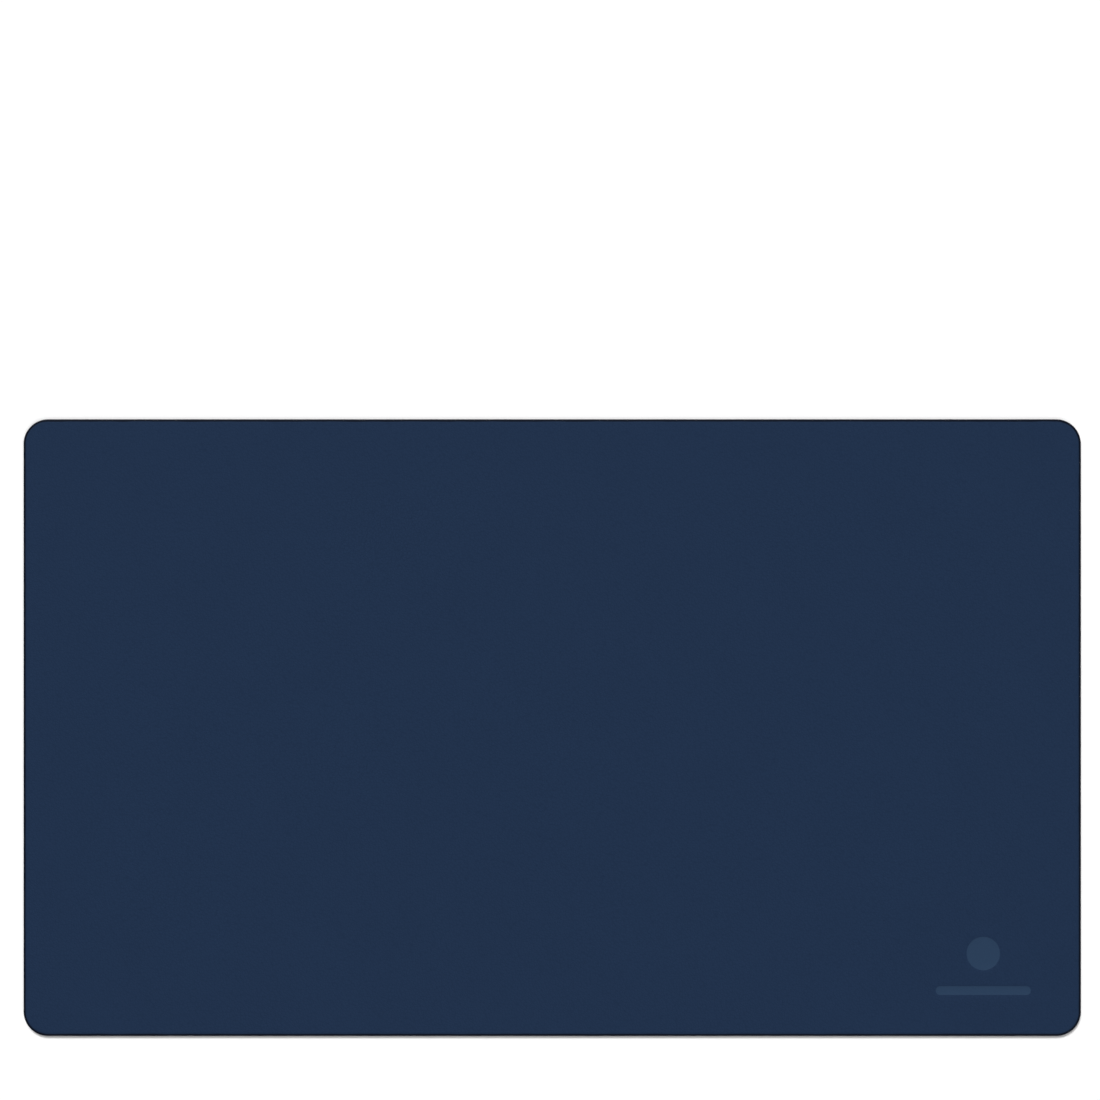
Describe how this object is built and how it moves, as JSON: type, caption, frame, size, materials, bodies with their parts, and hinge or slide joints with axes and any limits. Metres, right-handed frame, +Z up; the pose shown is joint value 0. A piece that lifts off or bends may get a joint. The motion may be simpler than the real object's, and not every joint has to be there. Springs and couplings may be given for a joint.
{
  "type": "desk mat",
  "caption": "Flat rectangular desk mat with rounded corners, a leather-like face, a pressed rim, a painted edge and a non-slip suede back, to work on with keyboard and mouse.",
  "frame": {"origin": "on the desk, under the middle of the mat", "axes": "+X along the mat's length, towards the end with the pressed mark; +Y away from the user, from the front edge to the back edge; +Z up out of the face"},
  "size_m": [0.6, 0.35, 0.002],
  "materials": {
    "face_film": "matte",
    "face_cloth": "matte",
    "glue_film": "satin",
    "back_cloth": "matte",
    "back_suede": "matte",
    "edge_seal": "satin"
  },
  "bodies": {
    "root": {"face_film": "face_film", "face_cloth": "face_cloth", "glue_film": "glue_film", "back_cloth": "back_cloth", "back_suede": "back_suede", "edge_seal": "edge_seal"}
  },
  "joints": []
}
